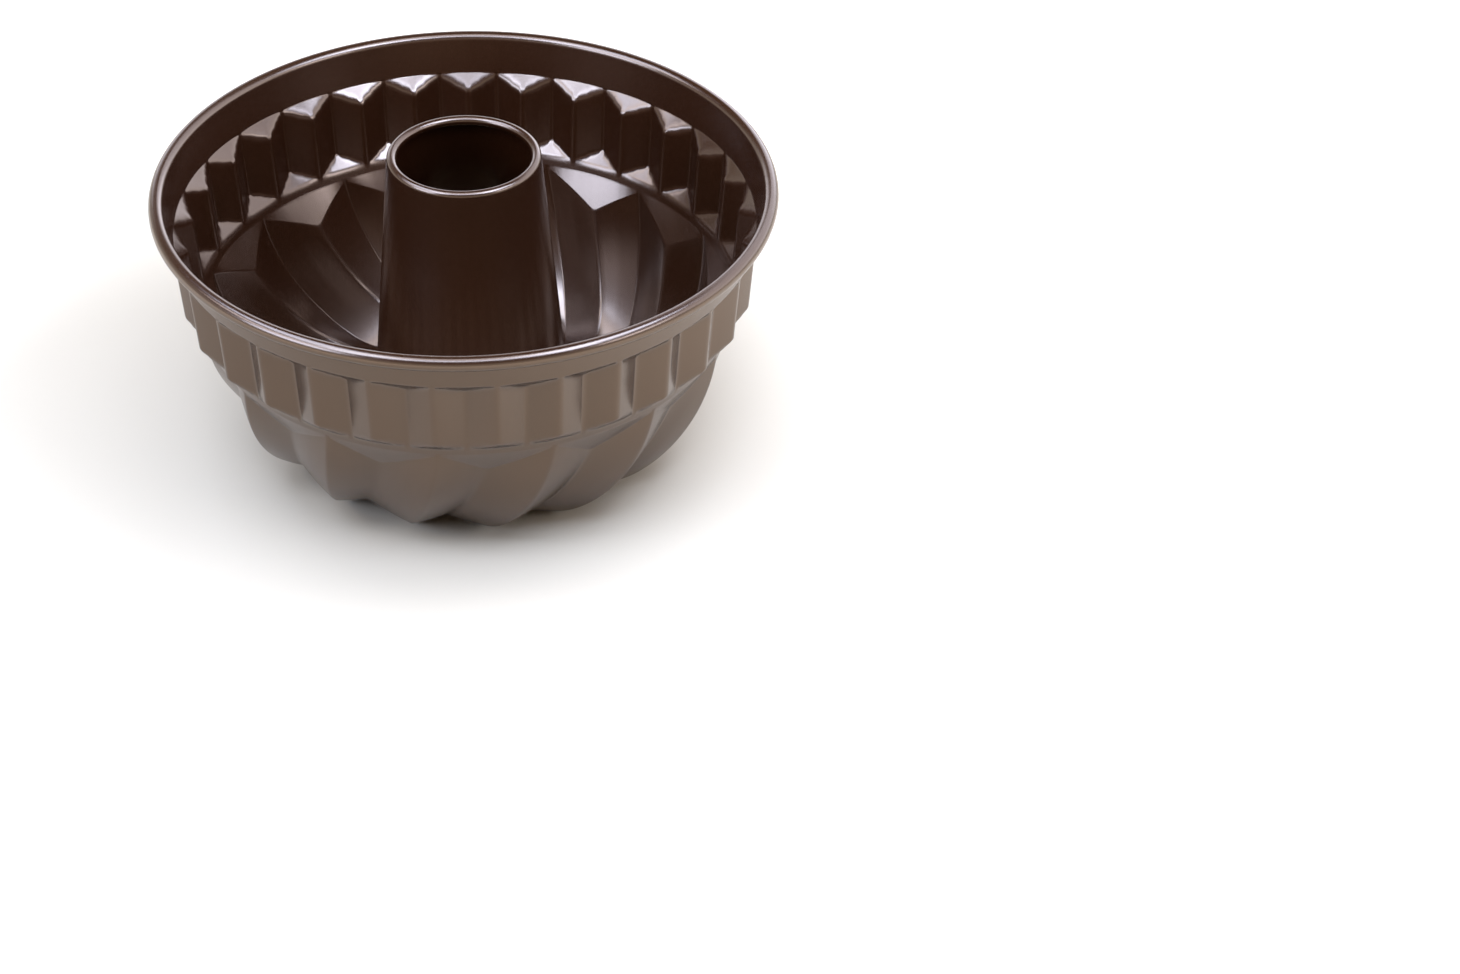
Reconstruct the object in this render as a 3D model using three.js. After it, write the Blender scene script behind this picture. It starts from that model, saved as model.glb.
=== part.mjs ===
// Kugelhopf mould of pressed steel, standing mouth up on the crests of its flutes.
// Millimetres and degrees. +Z runs up the chimney, and the origin lies on the standing plane.
import * as THREE from 'three';

// Sheet metal
const sheet = 0.7; // thickness of the coated sheet
const fit = 0.3; // gap left between two pieces that touch

// Heights, stacked from the standing plane to the rim
const crownLift = 3.2; // outer face of the flat crown ring
const fluteTop = 54.2; // where the flutes run out
const ringHeight = 3; // plain ring line above the flutes
const bandHeight = 30.4; // pleated band
const collarHeight = 12.4; // plain collar, up to the middle of the rim curl
const chimneyRise = 12; // chimney tip above the rim

// Rim: the sheet is curled outward round a wire
const rimDiameter = 220;
const wireDiameter = 3.3;
const curlSides = 12; // facets of a whole turn of the curl
const curlOpen = 3; // facets left open below

// Wall, as the insets that give it its taper, from the rim down
const collarTaper = 2.2; // foot of the collar inside its top
const pleatDepth = 5.8; // pleat valley inside the collar foot
const pleatDrop = 5.4; // upper end of a pleat valley below the collar
const pleatLean = 2.1; // lower end of a pleat ridge inside the collar foot
const pleatRise = 4.7; // lower end of a pleat ridge above the ring line
const bandTaper = 7.2; // foot of the band inside the collar foot
const ringTaper = 1; // top of the flutes inside the foot of the band

// Flutes: sharp ridges that start on the ring line, and valleys that start below it
const fluteCount = 15;
const ridgeDrop = 0.8; // top of a ridge below the ring line
const shelfWidth = 6.5; // top of a valley inside the ring line
const shelfDrop = 11; // top of a valley below the ring line
const shelfLead = 0.12; // share of the swirl's run that is behind the top of a valley
const crestReach = 17.2; // standing crest outside the flat crown ring
const valleyReach = 6.2; // foot of a valley outside the flat crown ring
const swirl = 21.9; // turn of a flute from ring line to crown
const swirlStart = 3.9; // handles of the swirl's S-curve
const swirlEnd = 4.9;

// Fullness of the two dome curves: shares of their inward and downward run
const ridgeFullness = { side: 0.07, drop: 0.62, floor: 0.28 };
const valleyFullness = { side: 0.25, drop: 0.77, floor: 0.46 };

// Crown: a stepped seat round the hole takes the chimney's flange
const flatWidth = 3.4; // flat crown ring at the end of a ridge
const seatDepth = 1.6;
const seatSlope = 0.4; // run of the step between flat ring and seat

// Chimney: a cone with a flange and a locking bead at its foot and a rolled tip
const chimneyFoot = 35.6; // outer radius in the crown
const chimneyTip = 27; // outer radius at the tip
const flangeWidth = 2; // flat part of the flange
const lipBend = 1.3; // inside radius of the bend between flange and cone
const beadRadius = 1.4; // locking bead
const tipRoll = 1.75; // outer radius of the rolled tip
const chimneySides = 40;

const degrees = Math.PI / 180;

// Places that more than one piece needs
const curlInside = wireDiameter / 2 + fit;
const curlCentre = new THREE.Vector2(
  rimDiameter / 2 - sheet - curlInside,
  fluteTop + ringHeight + bandHeight + collarHeight,
);
const rimTop = curlCentre.y + curlInside + sheet;
const seatLevel = crownLift + seatDepth; // underside of the seat
const lipCentre = new THREE.Vector2(chimneyFoot + lipBend, seatLevel - fit + lipBend);
const flangeRadius = lipCentre.x + flangeWidth;
const seatRadius = flangeRadius + fit;
const holeRadius = lipCentre.x + fit - Math.sqrt(lipBend ** 2 - (lipBend - fit) ** 2);

const coated = new THREE.MeshStandardMaterial({ color: 0x55403a, roughness: 0.36, metalness: 0.35 });
const bareSteel = new THREE.MeshStandardMaterial({ color: 0x9a9a9c, roughness: 0.4, metalness: 1 });

const point = (radius, height) => new THREE.Vector2(radius, height);

// Points on an arc round a centre, both ends included
function arc(centre, radius, from, to, steps) {
  return Array.from({ length: steps + 1 }, (_, i) => {
    const angle = (from + ((to - from) * i) / steps) * degrees;
    return point(radius * Math.cos(angle), radius * Math.sin(angle)).add(centre);
  });
}

// A curve that falls down a wall from start and runs out level at end
function domeCurve(start, end, fullness) {
  const run = end.clone().sub(start);
  const side = point(run.x * fullness.side, run.y * fullness.drop).add(start);
  const floor = point(-run.x * fullness.floor, 0).add(end);
  return new THREE.CubicBezierCurve(start, side, floor, end);
}

// Rings of the outer face of the body, from the hole in the crown to the edge of the curl.
// Each ring has four columns to a flute: ridge, flank, valley, flank. A pleat takes two of them.
const columns = fluteCount * 4;

function ring(place) {
  return Array.from({ length: columns }, (_, column) => {
    const { x: radius, y: height, turn = 0 } = place(column);
    const angle = (column / columns) * 2 * Math.PI - turn * degrees;
    return new THREE.Vector3(radius * Math.cos(angle), radius * Math.sin(angle), height);
  });
}

function crownRings(flatRadius) {
  const levels = [
    point(holeRadius, seatLevel),
    point(seatRadius, seatLevel),
    point(flatRadius - flatWidth, crownLift),
  ];
  return levels.map(({ x, y }) => ring(() => ({ x, y, turn: swirl })));
}

function fluteRings(flatRadius, ringRadius) {
  const crest = point(flatRadius + crestReach, 0);
  const ridgeFoot = point(flatRadius, crownLift);
  const valleyFoot = point(flatRadius + valleyReach, crownLift);
  const ridgeFall = domeCurve(point(ringRadius, fluteTop - ridgeDrop), crest, ridgeFullness);
  const ridgeEnd = new THREE.QuadraticBezierCurve(crest, crest.clone().lerp(point(flatRadius, 0), 0.25), ridgeFoot);
  const valleyFall = domeCurve(point(ringRadius - shelfWidth, fluteTop - shelfDrop), valleyFoot, valleyFullness);
  const turn = new THREE.CubicBezierCurve(
    point(0, 0),
    point(1 / 3, swirlStart),
    point(2 / 3, swirl - swirlEnd),
    point(1, swirl),
  );
  const ridge = [...ridgeFall.getPoints(9), ...ridgeEnd.getPoints(3).slice(1)];
  const valley = valleyFall.getPoints(ridge.length - 1);
  const rings = ridge.map((top, i) =>
    ring((column) => {
      const depth = [0, 0.5, 1, 0.5][column % 4];
      const lead = shelfLead * depth;
      const run = lead + (1 - lead) * (i / (ridge.length - 1));
      const { x, y } = top.clone().lerp(valley[i], depth);
      return { x, y, turn: turn.getPoint(run).y };
    }),
  );
  return rings.reverse();
}

function bandRings(collarFoot, bandFoot) {
  const bottom = fluteTop + ringHeight;
  const top = bottom + bandHeight;
  const ridge = [point(collarFoot - pleatLean, bottom + pleatRise), point(collarFoot, top)];
  const valley = [point(bandFoot, bottom), point(collarFoot - pleatDepth, top - pleatDrop)];
  const radiusAt = ([low, high], height) => THREE.MathUtils.mapLinear(height, low.y, high.y, low.x, high.x);
  const pleated = [ridge[0].y, valley[1].y].map((height) =>
    ring((column) => point(radiusAt(column % 2 ? valley : ridge, height), height)),
  );
  return [ring(() => valley[0]), ...pleated, ring(() => ridge[1])];
}

function curlRings() {
  const step = 360 / curlSides;
  const reach = curlInside / Math.cos((step / 2) * degrees);
  const sides = curlSides - curlOpen;
  const path = arc(curlCentre, reach, 180 - step / 2, 180 - step / 2 - step * sides, sides);
  return path.map((p) => ring(() => p));
}

// Closes a face of rings into a sheet: a second face lies one thickness inside the first
function sheetGeometry(rings) {
  const face = [];
  const corner = (row, column) => row * columns + (column % columns);
  for (let row = 0; row + 1 < rings.length; row += 1) {
    for (let column = 0; column < columns; column += 1) {
      const quad = [
        corner(row, column),
        corner(row, column + 1),
        corner(row + 1, column + 1),
        corner(row + 1, column),
      ];
      // The fold runs from each odd column to the even ones, as the ends of the pleats do
      const first = column % 2 ? 0 : 1;
      const [a, b, c, d] = [0, 1, 2, 3].map((k) => quad[(first + k) % 4]);
      face.push([a, b, c], [a, c, d]);
    }
  }
  const outer = rings.flat();
  const inner = insetVertices(outer, face);
  const count = outer.length;
  const edge = count - columns;
  const triangles = [...face, ...face.map(([a, b, c]) => [a + count, c + count, b + count])];
  for (let column = 0; column < columns; column += 1) {
    const [a, b] = [column, (column + 1) % columns];
    triangles.push([a, b + count, b], [a, a + count, b + count]);
    triangles.push([edge + a, edge + b, edge + b + count], [edge + a, edge + b + count, edge + a + count]);
  }
  const geometry = new THREE.BufferGeometry().setFromPoints([...outer, ...inner]);
  geometry.setIndex(triangles.flat());
  geometry.computeVertexNormals();
  return geometry;
}

// Moves each vertex inward so that the facets round it move by one sheet thickness
function insetVertices(vertices, face) {
  const geometry = new THREE.BufferGeometry().setFromPoints(vertices);
  geometry.setIndex(face.flat());
  geometry.computeVertexNormals();
  const normals = vertices.map((_, i) => new THREE.Vector3().fromBufferAttribute(geometry.attributes.normal, i));
  const slant = vertices.map(() => []);
  for (const corners of face) {
    const facet = new THREE.Triangle(...corners.map((i) => vertices[i])).getNormal(new THREE.Vector3());
    corners.forEach((i) => slant[i].push(facet.dot(normals[i])));
  }
  return vertices.map((vertex, i) => {
    const mean = slant[i].reduce((sum, value) => sum + value, 0) / slant[i].length;
    return vertex.clone().addScaledVector(normals[i], -sheet / mean);
  });
}

function bodyGeometry() {
  const collarFoot = curlCentre.x - curlInside - collarTaper;
  const bandFoot = collarFoot - bandTaper;
  const ringRadius = bandFoot - ringTaper;
  const flatRadius = seatRadius + seatSlope + flatWidth;
  return sheetGeometry([
    ...crownRings(flatRadius),
    ...fluteRings(flatRadius, ringRadius),
    ring(() => point(ringRadius, fluteTop)),
    ...bandRings(collarFoot, bandFoot),
    ...curlRings(),
  ]);
}

// Closed section of a wall whose one face follows a path, with the sheet on the path's left
function wallSection(path) {
  const sides = path.slice(1).map((p, i) => p.clone().sub(path[i]).normalize());
  const left = sides.map(({ x, y }) => point(-y, x));
  const back = path.map((p, i) => {
    const before = left[Math.max(i - 1, 0)];
    const after = left[Math.min(i, left.length - 1)];
    const mitre = before.clone().add(after).divideScalar(1 + before.dot(after));
    return p.clone().addScaledVector(mitre, sheet);
  });
  return [...path, ...back.reverse(), path[0].clone()];
}

function turned(section, sides) {
  return new THREE.LatheGeometry(section, sides).rotateX(Math.PI / 2);
}

function chimneyGeometry() {
  const tip = rimTop + chimneyRise;
  const beadCentre = point(chimneyFoot, seatLevel + sheet + fit + beadRadius);
  const rollCentre = point(chimneyTip - tipRoll, tip - tipRoll);
  const path = [
    point(flangeRadius, lipCentre.y - lipBend),
    ...arc(lipCentre, lipBend, 270, 180, 3),
    ...arc(beadCentre, beadRadius, -80, 80, 4),
    ...arc(rollCentre, tipRoll, 0, 240, 8),
  ];
  return turned(wallSection(path), chimneySides);
}

function wireGeometry() {
  return new THREE.TorusGeometry(curlCentre.x, wireDiameter / 2, 8, columns).translate(0, 0, curlCentre.y);
}

const mould = new THREE.Group();

function addPiece(name, geometry, material) {
  const piece = new THREE.Mesh(geometry, material);
  piece.name = name;
  mould.add(piece);
}

addPiece('mould_body', bodyGeometry(), coated);
addPiece('chimney', chimneyGeometry(), coated);
addPiece('rim_wire', wireGeometry(), bareSteel);

export default mould;
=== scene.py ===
import math

import bmesh
import bpy
from mathutils import Matrix, Vector


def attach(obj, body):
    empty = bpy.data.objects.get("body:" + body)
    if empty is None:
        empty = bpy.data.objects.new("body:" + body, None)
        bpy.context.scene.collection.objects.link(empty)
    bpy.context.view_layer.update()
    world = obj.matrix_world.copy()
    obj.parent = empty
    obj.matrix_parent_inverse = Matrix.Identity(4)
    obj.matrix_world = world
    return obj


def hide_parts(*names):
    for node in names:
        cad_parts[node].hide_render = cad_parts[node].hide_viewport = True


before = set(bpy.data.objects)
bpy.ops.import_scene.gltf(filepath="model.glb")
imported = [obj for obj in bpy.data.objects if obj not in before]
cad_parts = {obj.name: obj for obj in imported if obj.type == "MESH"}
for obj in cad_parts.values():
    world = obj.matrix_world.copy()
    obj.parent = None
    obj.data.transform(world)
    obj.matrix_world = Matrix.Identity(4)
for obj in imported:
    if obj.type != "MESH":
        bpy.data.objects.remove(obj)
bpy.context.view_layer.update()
print("frame loaded:", sorted(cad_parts))

mm = 0.001
weld = 0.002 * mm  # points nearer than this are one point


def lerp(start, end, share):
    return start + (end - start) * share


# The smaller of two numbers, rounded over where they are within the radius of each other
def softMin(a, b, radius):
    near = max(radius - abs(a - b), 0) / radius
    return min(a, b) - near * near * radius / 4


def softMax(a, b, radius):
    return -softMin(-a, -b, radius)


# A point on a cubic curve with four controls, numbers or vectors
def cubic(controls, t):
    a, b, c, d = controls
    s = 1 - t
    return a * s ** 3 + b * (3 * s * s * t) + c * (3 * s * t * t) + d * t ** 3


# Points on an arc from one angle to another, in degrees
def arcPoints(centre, radius, start, end, steps):
    angles = [math.radians(lerp(start, end, i / steps)) for i in range(steps + 1)]
    return [centre + Vector((math.cos(a), math.sin(a))) * radius for a in angles]


# Merges the seam that a spin leaves and points all faces the same way
def closeSeam(bm):
    bmesh.ops.remove_doubles(bm, verts=bm.verts[:], dist=weld)
    bmesh.ops.recalc_face_normals(bm, faces=bm.faces[:])


def meshPiece(name, bm, material):
    mesh = bpy.data.meshes.new(name)
    bm.to_mesh(mesh)
    bm.free()
    mesh.polygons.foreach_set("use_smooth", [True] * len(mesh.polygons))
    piece = bpy.data.objects.new(name, mesh)
    bpy.context.scene.collection.objects.link(piece)
    piece.data.materials.append(material)
    return piece


# The mesh is the outer face, and the steel lies inside it
def addSheet(piece, thickness):
    wall = piece.modifiers.new("sheet", "SOLIDIFY")
    wall.thickness = thickness * mm
    wall.offset = -1
    wall.use_even_offset = True
    wall.use_quality_normals = True


# sRGB hex to linear
def linear(hexColour):
    values = [int(hexColour[i:i + 2], 16) / 255 for i in (1, 3, 5)]
    return tuple(v / 12.92 if v <= 0.04045 else ((v + 0.055) / 1.055) ** 2.4 for v in values) + (1,)


# Adds a node: settings by attribute name, constants and links by socket name
def addNode(tree, kind, settings=None, inputs=None):
    node = tree.nodes.new(kind)
    for key, value in (settings or {}).items():
        setattr(node, key, value)
    for key, value in (inputs or {}).items():
        if isinstance(value, bpy.types.NodeSocket):
            tree.links.new(value, node.inputs[key])
        else:
            node.inputs[key].default_value = value
    return node


mixShare, mixFirst, mixSecond, mixResult = 0, 6, 7, 2  # sockets of a Mix node for colours


def newMaterial(name):
    material = bpy.data.materials.new(name)
    material.use_nodes = True
    material.node_tree.nodes.clear()
    return material, material.node_tree


# Sprayed and baked non-stick coat with fine metal flake on pressed steel: dark brown, with a
# clear satin gloss that mirrors the softboxes white and goes near black where it sees itself
coatLook = {
    "colour": "#1B0901",
    "flakeColour": "#220C03",
    "flakeSize": 0.9,          # mm, coarser than the real flake so that it shows
    "flakeRange": (0.3, 0.7),  # part of the flake pattern that changes the gloss
    "ior": 1.95,               # stands for the flake in the clear binder
    "tint": "#FFE0C4",         # the flake warms what the coat mirrors
    "roughness": 0.24,
    "roughnessSpread": 0.012,
    "peelSize": 2.2,           # mm, orange peel of the spray
    "peelHeight": 0.0012,      # mm
}


def coatedSteel():
    look = coatLook
    material, tree = newMaterial("brown non-stick coated steel")
    place = addNode(tree, "ShaderNodeTexCoord").outputs["Object"]
    flake = addNode(tree, "ShaderNodeTexNoise", {}, {
        "Vector": place, "Scale": 1 / (look["flakeSize"] * mm), "Detail": 2.0, "Roughness": 0.6})
    peel = addNode(tree, "ShaderNodeTexNoise", {}, {
        "Vector": place, "Scale": 1 / (look["peelSize"] * mm), "Detail": 1.0, "Roughness": 0.5})
    colour = addNode(tree, "ShaderNodeMix", {"data_type": "RGBA"}, {
        mixShare: flake.outputs["Fac"],
        mixFirst: linear(look["colour"]), mixSecond: linear(look["flakeColour"])})
    low, high = look["flakeRange"]
    gloss = addNode(tree, "ShaderNodeMapRange", {}, {
        "Value": flake.outputs["Fac"], "From Min": low, "From Max": high,
        "To Min": look["roughness"] - look["roughnessSpread"],
        "To Max": look["roughness"] + look["roughnessSpread"]})
    skin = addNode(tree, "ShaderNodeBump", {}, {
        "Height": peel.outputs["Fac"], "Strength": 1.0, "Distance": look["peelHeight"] * mm})
    shader = addNode(tree, "ShaderNodeBsdfPrincipled", {}, {
        "Base Color": colour.outputs[mixResult], "Roughness": gloss.outputs["Result"],
        "Normal": skin.outputs["Normal"],
        "IOR": look["ior"], "Specular Tint": linear(look["tint"])})
    addNode(tree, "ShaderNodeOutputMaterial", {}, {"Surface": shader.outputs["BSDF"]})
    return material


# Plain drawn steel wire: grey metal, a little mottled by the die
wireLook = {
    "colour": "#8E8E90",
    "paleColour": "#A6A6A8",
    "mottleSize": 0.6,  # mm
    "roughness": 0.4,
}


def drawnWire():
    look = wireLook
    material, tree = newMaterial("drawn steel wire")
    place = addNode(tree, "ShaderNodeTexCoord").outputs["Object"]
    mottle = addNode(tree, "ShaderNodeTexNoise", {}, {
        "Vector": place, "Scale": 1 / (look["mottleSize"] * mm), "Detail": 3.0, "Roughness": 0.6})
    colour = addNode(tree, "ShaderNodeMix", {"data_type": "RGBA"}, {
        mixShare: mottle.outputs["Fac"],
        mixFirst: linear(look["colour"]), mixSecond: linear(look["paleColour"])})
    shader = addNode(tree, "ShaderNodeBsdfPrincipled", {}, {
        "Base Color": colour.outputs[mixResult], "Roughness": look["roughness"], "Metallic": 1.0})
    addNode(tree, "ShaderNodeOutputMaterial", {}, {"Surface": shader.outputs["BSDF"]})
    return material


coated = coatedSteel()
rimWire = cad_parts["rim_wire"]
rimWire.data.materials.clear()
rimWire.data.materials.append(drawnWire())
print("materials made")

# Pressed body, mouth up on the standing plane: mm at its outer face, pairs are radius and height
body = {
    "sheet": 0.7,
    "flutes": 15,
    "hole": 36.37,
    "seat": (39.2, 4.8),      # outer edge of the seat for the chimney's flange
    "flat": (39.6, 3.2),      # inner edge of the flat crown ring
    "stepBend": (0.2, 0.15),  # how far the bends of the step between them reach, along and up
    "ridgeFall": ((95, 53.4), (92.56, 20.3), (69.98, 0), (60.2, 0)),
    "ridgeEnd": ((60.2, 0), (57.33, 0), (53.03, 1.07), (43, 3.2)),
    "valleyFall": ((88.5, 43.2), (78.68, 12.4), (67.28, 3.2), (49.2, 3.2)),
    "crestShare": 0.75,       # part of a flute that is the fall of its ridge
    "turn": (0, 3.9, 17.0, 21.9),  # degrees of swirl down a flute
    "shelfLead": 0.12,        # how far ahead in the swirl a valley starts
    "fluteEdges": (0.03, 0.09),    # rounded part of a flute's side, at its ridge and at its valley
    "ring": ((95, 54.2), (96, 57.2)),
    "bandTop": (103.2, 87.6),
    "pleatRidge": ((101.1, 61.9), (103.2, 87.6)),
    "pleatValley": ((96, 57.2), (98.0, 82.75)),
    "pleatEdges": (0.12, 0.12),    # as fluteEdges
    "facetEdge": 0.9,         # rounding where the facets at a pleat's ends meet its sides
    "facetWeight": 80,        # how much the shading follows the large flat faces
    "curl": (107.35, 100.0),
    "curlRadius": 1.95,
    "curlArc": (180, -105),
}

# Where the body's mesh has its rows and columns, as shares where not said otherwise
bodyRows = {
    "flat": 0.6,
    "flute": 32,              # count
    "brink": (0.015, 0.006, 0),
    "shelf": (0.04, 0.12, 0.35, 0.65, 0.9),
    "ring": (0, 0.12, 0.5, 0.85),
    "facetGap": 0.45,         # mm between close rows at both ends of the pleats
    "facet": 14,              # count
    "middle": 6,              # parts
    "underCollar": 0.15,      # mm
    "collar": (0.02, 0.06, 0.2, 0.4, 0.6, 0.8),
    "curl": 24,               # count
    "pleatSide": (0, 0.06, 0.12, 0.37, 0.63, 0.88, 0.94),
    "sides": 4,               # two pleats to a flute, with two sides each
}


# Share of the way from a ridge to a valley, rounded at both and still reaching both. The phase
# is even at ridges and odd at valleys
def fold(phase, edges):
    ridge, valley = edges
    share = 1 - abs(1 - phase % 2)
    if share < ridge:
        share = (share * share + ridge * ridge) / (2 * ridge)
    elif share > 1 - valley:
        share = 1 - ((1 - share) ** 2 + valley * valley) / (2 * valley)
    return (share - ridge / 2) / (1 - (ridge + valley) / 2)


def radiusAt(line, z):
    (r0, z0), (r1, z1) = line
    return lerp(r0, r1, (z - z0) / (z1 - z0))


# A station gives the radius, height and swirl of one row of the body at a flute's phase
def fluteStation(u):
    ridge = [Vector(p) for p in body["ridgeFall"]]
    end = [Vector(p) for p in body["ridgeEnd"]]
    valley = [Vector(p) for p in body["valleyFall"]]
    crest = body["crestShare"]
    top = cubic(ridge, u / crest) if u < crest else cubic(end, (u - crest) / (1 - crest))
    low = cubic(valley, u)

    def place(phase):
        depth = fold(phase, body["fluteEdges"])
        lead = body["shelfLead"] * depth
        r, z = lerp(top, low, depth)
        return r, z, cubic(body["turn"], lead + (1 - lead) * u)
    return place


# The shelf of facets from the flutes' ends out to the ring line
def shelfStation(share):
    ring = Vector(body["ring"][0])
    edge = fluteStation(0)

    def place(phase):
        r, z, turn = edge(phase)
        r, z = lerp(Vector((r, z)), ring, share)
        return r, z, turn * (1 - share)
    return place


# The pleats, cut by the slopes that make the facets at their foot and top
def bandStation(z):
    foot = body["ring"][1]
    top = body["bandTop"]
    ridge = body["pleatRidge"]
    valley = body["pleatValley"]

    def place(phase):
        share = fold(phase * 2, body["pleatEdges"])
        r = lerp(radiusAt(ridge, z), radiusAt(valley, z), share)
        r = softMin(r, radiusAt((foot, ridge[0]), z), body["facetEdge"])
        r = softMax(r, radiusAt((valley[1], top), z), body["facetEdge"])
        return r, z, 0
    return place


def ringStation(r, z, turn=0):
    return lambda phase: (r, z, turn)


# All rows from the hole in the crown to the end of the rim's curl
def bodyStations():
    crownTurn = body["turn"][3]
    seatR, seatZ = body["seat"]
    flatR, flatZ = body["flat"]
    along, up = body["stepBend"]
    crown = [
        (body["hole"], seatZ),
        (lerp(body["hole"], seatR, 0.5), seatZ),
        (seatR - along, seatZ),
        (seatR, seatZ - up),
        (flatR, flatZ + up),
        (flatR + along, flatZ),
        (lerp(flatR, body["ridgeEnd"][3][0], bodyRows["flat"]), flatZ),
    ]
    stations = [ringStation(r, z, crownTurn) for r, z in crown]
    count = bodyRows["flute"]
    stations += [fluteStation(1 - i / count) for i in range(count)]
    stations += [fluteStation(u) for u in bodyRows["brink"]]
    stations += [shelfStation(s) for s in bodyRows["shelf"]]
    (r0, z0), (r1, z1) = body["ring"]
    stations += [ringStation(lerp(r0, r1, s), lerp(z0, z1, s)) for s in bodyRows["ring"]]
    top = body["bandTop"][1]
    steps = [bodyRows["facetGap"] * i for i in range(1, bodyRows["facet"] + 1)]
    parts = bodyRows["middle"]
    middle = [lerp(z1 + steps[-1], top - steps[-1], i / parts) for i in range(1, parts)]
    rows = [z1 + s for s in steps] + middle
    rows += [top - s for s in reversed([bodyRows["underCollar"]] + steps)]
    stations += [bandStation(z) for z in rows]
    centre = Vector(body["curl"])
    collarTop = Vector((centre.x - body["curlRadius"], centre.y))
    foot = Vector(body["bandTop"])
    stations += [ringStation(*lerp(foot, collarTop, s)) for s in bodyRows["collar"]]
    curl = arcPoints(centre, body["curlRadius"], *body["curlArc"], bodyRows["curl"])
    return stations + [ringStation(*p) for p in curl]


# A flat grid is shaped to one flute with its two pleats, which is then spun round
def buildBody():
    stations = bodyStations()
    sides = range(bodyRows["sides"])
    columns = [(side + cut) / 2 for side in sides for cut in bodyRows["pleatSide"]] + [2]
    wedge = 2 * math.pi / body["flutes"]
    bm = bmesh.new()
    bmesh.ops.create_grid(
        bm, x_segments=len(columns) - 1, y_segments=len(stations) - 1, size=0.5)
    for v in bm.verts:
        phase = columns[round((v.co.x + 0.5) * (len(columns) - 1))]
        r, z, turn = stations[round((v.co.y + 0.5) * (len(stations) - 1))](phase)
        angle = phase / 2 * wedge - math.radians(turn)
        v.co = Vector((r * math.cos(angle), r * math.sin(angle), z)) * mm
    more = body["flutes"] - 1
    bmesh.ops.spin(
        bm, geom=bm.verts[:] + bm.edges[:] + bm.faces[:], cent=(0, 0, 0), axis=(0, 0, 1),
        angle=wedge * more, steps=more, use_duplicate=True)
    closeSeam(bm)
    lip = min(bm.faces, key=lambda f: f.calc_center_median().xy.length)
    if lip.normal.z > 0:  # the outer face of the crown's lip looks down
        bmesh.ops.reverse_faces(bm, faces=bm.faces[:])
    print("body", len(bm.faces), "faces")
    piece = meshPiece("pressed_body", bm, coated)
    addSheet(piece, body["sheet"])
    facets = piece.modifiers.new("flat facets", "WEIGHTED_NORMAL")
    facets.weight = body["facetWeight"]
    return piece


# Chimney: turned cone with a flange, a locking bead and a rolled tip, in mm at its outer face.
# Each bend has its centre, its radius, and its arc as first angle, last angle and steps
chimney = {
    "sheet": 0.7,
    "flange": 38.9,
    "lip": ((36.9, 5.8), 1.3, (270, 180, 8)),
    "bead": ((35.6, 7.2), 1.4, (-80, 80, 10)),
    "roll": ((25.25, 112.9), 1.75, (0, 240, 20)),
    "steps": 160,
}


def buildChimney():
    lipCentre, lipRadius, _ = chimney["lip"]
    path = [Vector((chimney["flange"], lipCentre[1] - lipRadius))]
    for bend in ("lip", "bead", "roll"):
        centre, radius, arc = chimney[bend]
        path += arcPoints(Vector(centre), radius, *arc)
    bm = bmesh.new()
    verts = [bm.verts.new(Vector((p.x, 0, p.y)) * mm) for p in path]
    edges = [bm.edges.new(pair) for pair in zip(verts, verts[1:])]
    bmesh.ops.spin(
        bm, geom=verts + edges, cent=(0, 0, 0), axis=(0, 0, 1),
        angle=2 * math.pi, steps=chimney["steps"], use_merge=True)
    closeSeam(bm)
    cone = max(bm.faces, key=lambda f: f.calc_area())
    if cone.normal.dot(cone.calc_center_median()) < 0:  # the cone looks outwards
        bmesh.ops.reverse_faces(bm, faces=bm.faces[:])
    print("chimney", len(bm.faces), "faces")
    piece = meshPiece("chimney_cone", bm, coated)
    addSheet(piece, chimney["sheet"])
    return piece


pressedBody = buildBody()
chimneyCone = buildChimney()
for piece, node in ((pressedBody, "mould_body"), (chimneyCone, "chimney")):
    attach(piece, "root")
    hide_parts(node)

# Floor and room, metres
studio = {
    "floorColour": "#C5B397",  # warm paper that reads white under the cool lamps
    "floorSize": 8.0,
    "paintedShadeAt": (-0.07, -0.04, 0),  # centre of the painted shade, under the mould's front left: the floor's painted glow is missing here, so the coat mirrors it darker
    "glow": (0.12, 0.35),      # distances from there where the painted glow starts and where it is full white
    "fill": 0.08,              # world light on the object
    "backdrop": (0.15, 0.5),   # sines of the heights between which the backdrop fades
    "ceiling": "#7A6448",      # warm room above the lamps
    "aim": (0, 0, 0.06),       # where the lamps point
}
white = (1, 1, 1, 1)


# 1 for the rays that see the background: straight from the camera, mirrored or let through
def seenRays(tree):
    path = addNode(tree, "ShaderNodeLightPath")
    mirrored = addNode(tree, "ShaderNodeMath", {"operation": "MAXIMUM"}, {
        0: path.outputs["Is Camera Ray"], 1: path.outputs["Is Glossy Ray"]})
    return addNode(tree, "ShaderNodeMath", {"operation": "MAXIMUM"}, {
        0: mirrored.outputs[0], 1: path.outputs["Is Transmission Ray"]}).outputs[0]
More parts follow.
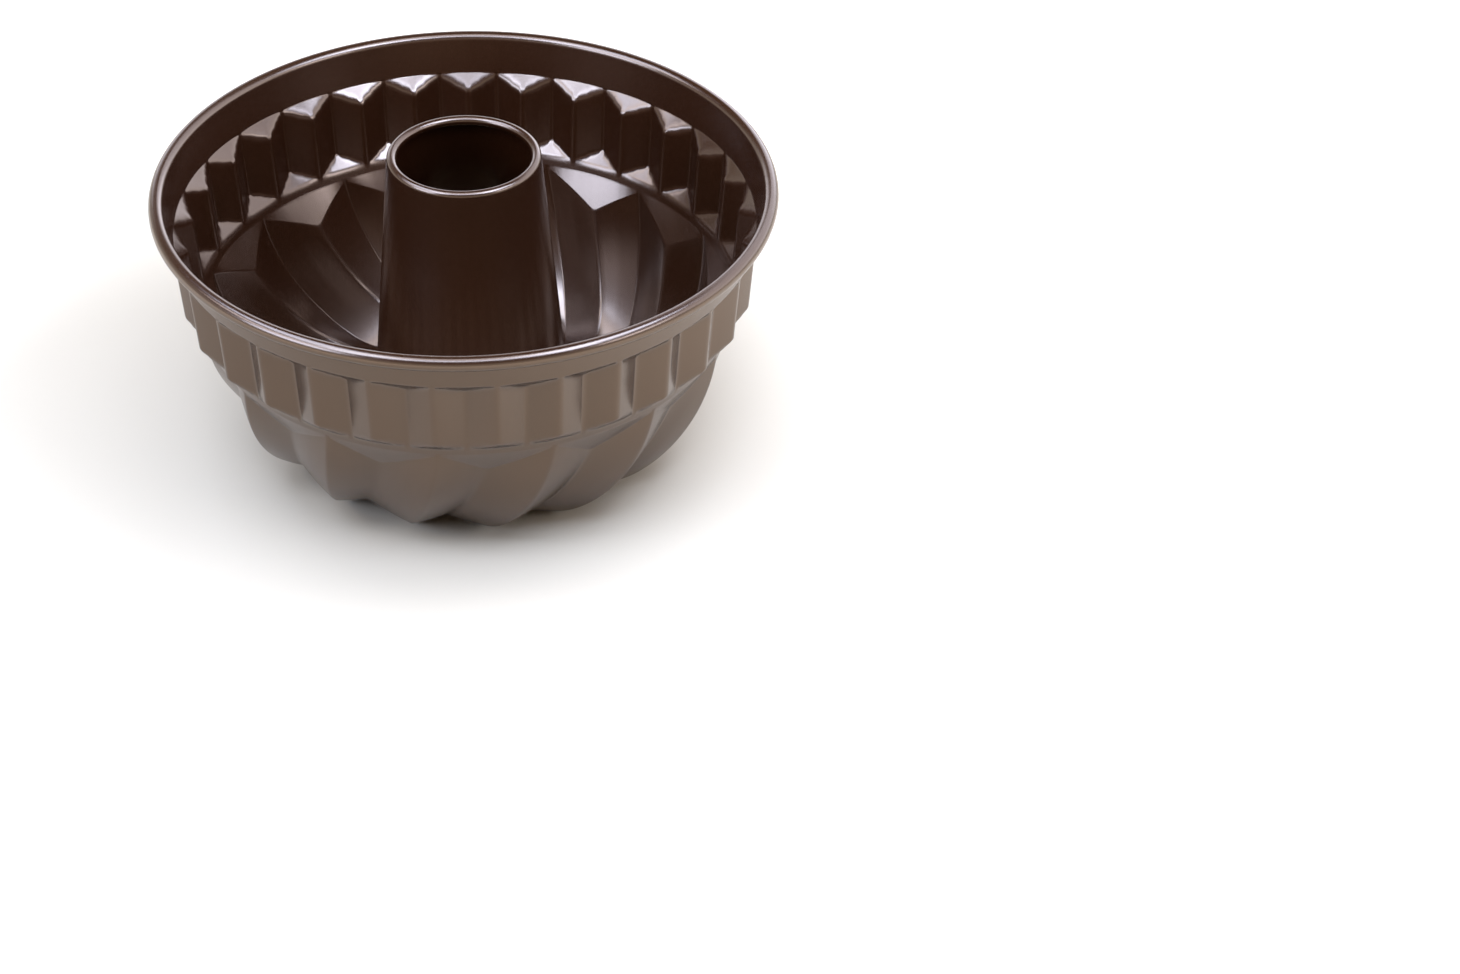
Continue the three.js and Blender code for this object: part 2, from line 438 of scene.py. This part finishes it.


# Matt paper that takes the mould's shadow. A painted glow is added for the eye and the coat's
# mirror: none near the mould, so the coat mirrors painted shade there, and white further out
def buildFloor():
    bm = bmesh.new()
    bmesh.ops.create_grid(bm, x_segments=1, y_segments=1, size=studio["floorSize"] / 2)
    material, tree = newMaterial("paper sweep with painted glow")
    place = addNode(tree, "ShaderNodeTexCoord").outputs["Object"]
    aside = addNode(tree, "ShaderNodeVectorMath", {"operation": "SUBTRACT"}, {
        0: place, 1: studio["paintedShadeAt"]})
    distance = addNode(tree, "ShaderNodeVectorMath", {"operation": "LENGTH"}, {
        0: aside.outputs[0]})
    near, far = studio["glow"]
    # Painted glow: rises with distance from the painted shade spot, and only rays that see the
    # background get it
    paintedGlowShare = addNode(tree, "ShaderNodeMapRange", {"interpolation_type": "SMOOTHSTEP"}, {
        "Value": distance.outputs["Value"], "From Min": near, "From Max": far})
    strength = addNode(tree, "ShaderNodeMath", {"operation": "MULTIPLY"}, {
        0: paintedGlowShare.outputs["Result"], 1: seenRays(tree)})
    paper = addNode(tree, "ShaderNodeBsdfDiffuse", {}, {"Color": linear(studio["floorColour"])})
    # Emission that paints the floor white, though the floor is no lamp
    glow = addNode(tree, "ShaderNodeEmission", {}, {"Strength": strength.outputs[0]})
    both = addNode(tree, "ShaderNodeAddShader", {}, {0: paper.outputs[0], 1: glow.outputs[0]})
    addNode(tree, "ShaderNodeOutputMaterial", {}, {"Surface": both.outputs[0]})
    floor = meshPiece("floor", bm, material)


# White backdrop that fades to the ceiling where it is seen, and a low even fill as light
def buildWorld():
    world = bpy.data.worlds.new("white studio")
    bpy.context.scene.world = world
    world.use_nodes = True
    tree = world.node_tree
    tree.nodes.clear()
    way = addNode(tree, "ShaderNodeTexCoord").outputs["Generated"]
    upward = addNode(tree, "ShaderNodeSeparateXYZ", {}, {"Vector": way}).outputs["Z"]
    start, end = studio["backdrop"]
    rise = addNode(tree, "ShaderNodeMapRange", {}, {
        "Value": upward, "From Min": start, "From Max": end})
    shown = addNode(tree, "ShaderNodeMix", {"data_type": "RGBA"}, {
        mixShare: rise.outputs["Result"],
        mixFirst: white, mixSecond: linear(studio["ceiling"])})
    fill = studio["fill"]
    light = addNode(tree, "ShaderNodeMix", {"data_type": "RGBA"}, {
        mixShare: seenRays(tree),
        mixFirst: (fill, fill, fill, 1), mixSecond: shown.outputs[mixResult]})
    back = addNode(tree, "ShaderNodeBackground", {}, {"Color": light.outputs[mixResult]})
    addNode(tree, "ShaderNodeOutputWorld", {}, {"Surface": back.outputs[0]})


# Softboxes round the mould: turn from the front to the right and rise from the floor in degrees,
# distance and size in metres, glow as radiance. Daylight tubes hang near and in front, and the
# dimmer panels are almost neutral
daylight, paleWhite = "#BBD2FF", "#DDE6FF"
lamps = {
    "hungLeft": {
        "turn": -80, "rise": 62, "distance": 0.45, "size": (0.4, 0.16),
        "glow": 11.4, "colour": daylight},
    "hungRight": {
        "turn": 65, "rise": 62, "distance": 0.45, "size": (0.27, 0.16),
        "glow": 17.7, "colour": daylight},
    "farLeft": {
        "turn": -60, "rise": 26, "distance": 1.1, "size": (0.6, 0.34),
        "glow": 14.9, "colour": daylight},
    "sideLeft": {
        "turn": -78, "rise": 41, "distance": 1.1, "size": (0.85, 0.22),
        "glow": 7.4, "colour": paleWhite},
    "farRight": {
        "turn": 59, "rise": 26.5, "distance": 1.1, "size": (0.45, 0.29),
        "glow": 8.7, "colour": paleWhite},
    "front": {
        "turn": 0, "rise": 64, "distance": 1.1, "size": (1.5, 0.3),
        "glow": 12.3, "colour": daylight},
    "top": {
        "turn": 0, "rise": 84, "distance": 1.1, "size": (1.0, 0.3),
        "glow": 5.7, "colour": paleWhite},
    "back": {
        "turn": 180, "rise": 14, "distance": 2.0, "size": (2.4, 0.8),
        "glow": 2.1, "colour": paleWhite},
    "backRight": {
        "turn": 124, "rise": 29, "distance": 1.1, "size": (2.1, 0.85),
        "glow": 2.7, "colour": paleWhite},
}


def buildLamps():
    aim = Vector(studio["aim"])
    for name, lamp in lamps.items():
        light = bpy.data.lights.new(name, "AREA")
        light.shape = "RECTANGLE"
        light.size, light.size_y = lamp["size"]
        light.energy = lamp["glow"] * math.pi * light.size * light.size_y
        light.color = linear(lamp["colour"])[:3]
        turn, rise = math.radians(lamp["turn"]), math.radians(lamp["rise"])
        level = math.cos(rise)
        way = Vector((level * math.sin(turn), -level * math.cos(turn), math.sin(rise)))
        facing = (-way).to_track_quat("-Z", "Y").to_matrix().to_4x4()
        stand = bpy.data.objects.new(name, light)
        stand.matrix_world = Matrix.Translation(aim + way * lamp["distance"]) @ facing
        bpy.context.scene.collection.objects.link(stand)


# Camera that stands as the photograph's did, mm and degrees
view = {
    "place": (26.27, -1016.35, 730.13),
    "turn": (53.1563, -0.89, -3.2035),
    "lens": 83.589,
    "sensor": 36,
    "nearest": 10,
}


def buildCamera():
    data = bpy.data.cameras.new("camera")
    data.lens = view["lens"]
    data.sensor_width = view["sensor"]
    data.clip_start = view["nearest"] * mm
    camera = bpy.data.objects.new("camera", data)
    camera.location = Vector(view["place"]) * mm
    camera.rotation_euler = [math.radians(a) for a in view["turn"]]
    bpy.context.scene.collection.objects.link(camera)
    bpy.context.scene.camera = camera


buildFloor()
buildWorld()
buildLamps()
buildCamera()
bpy.context.scene.view_settings.view_transform = "Standard"
print("studio set")
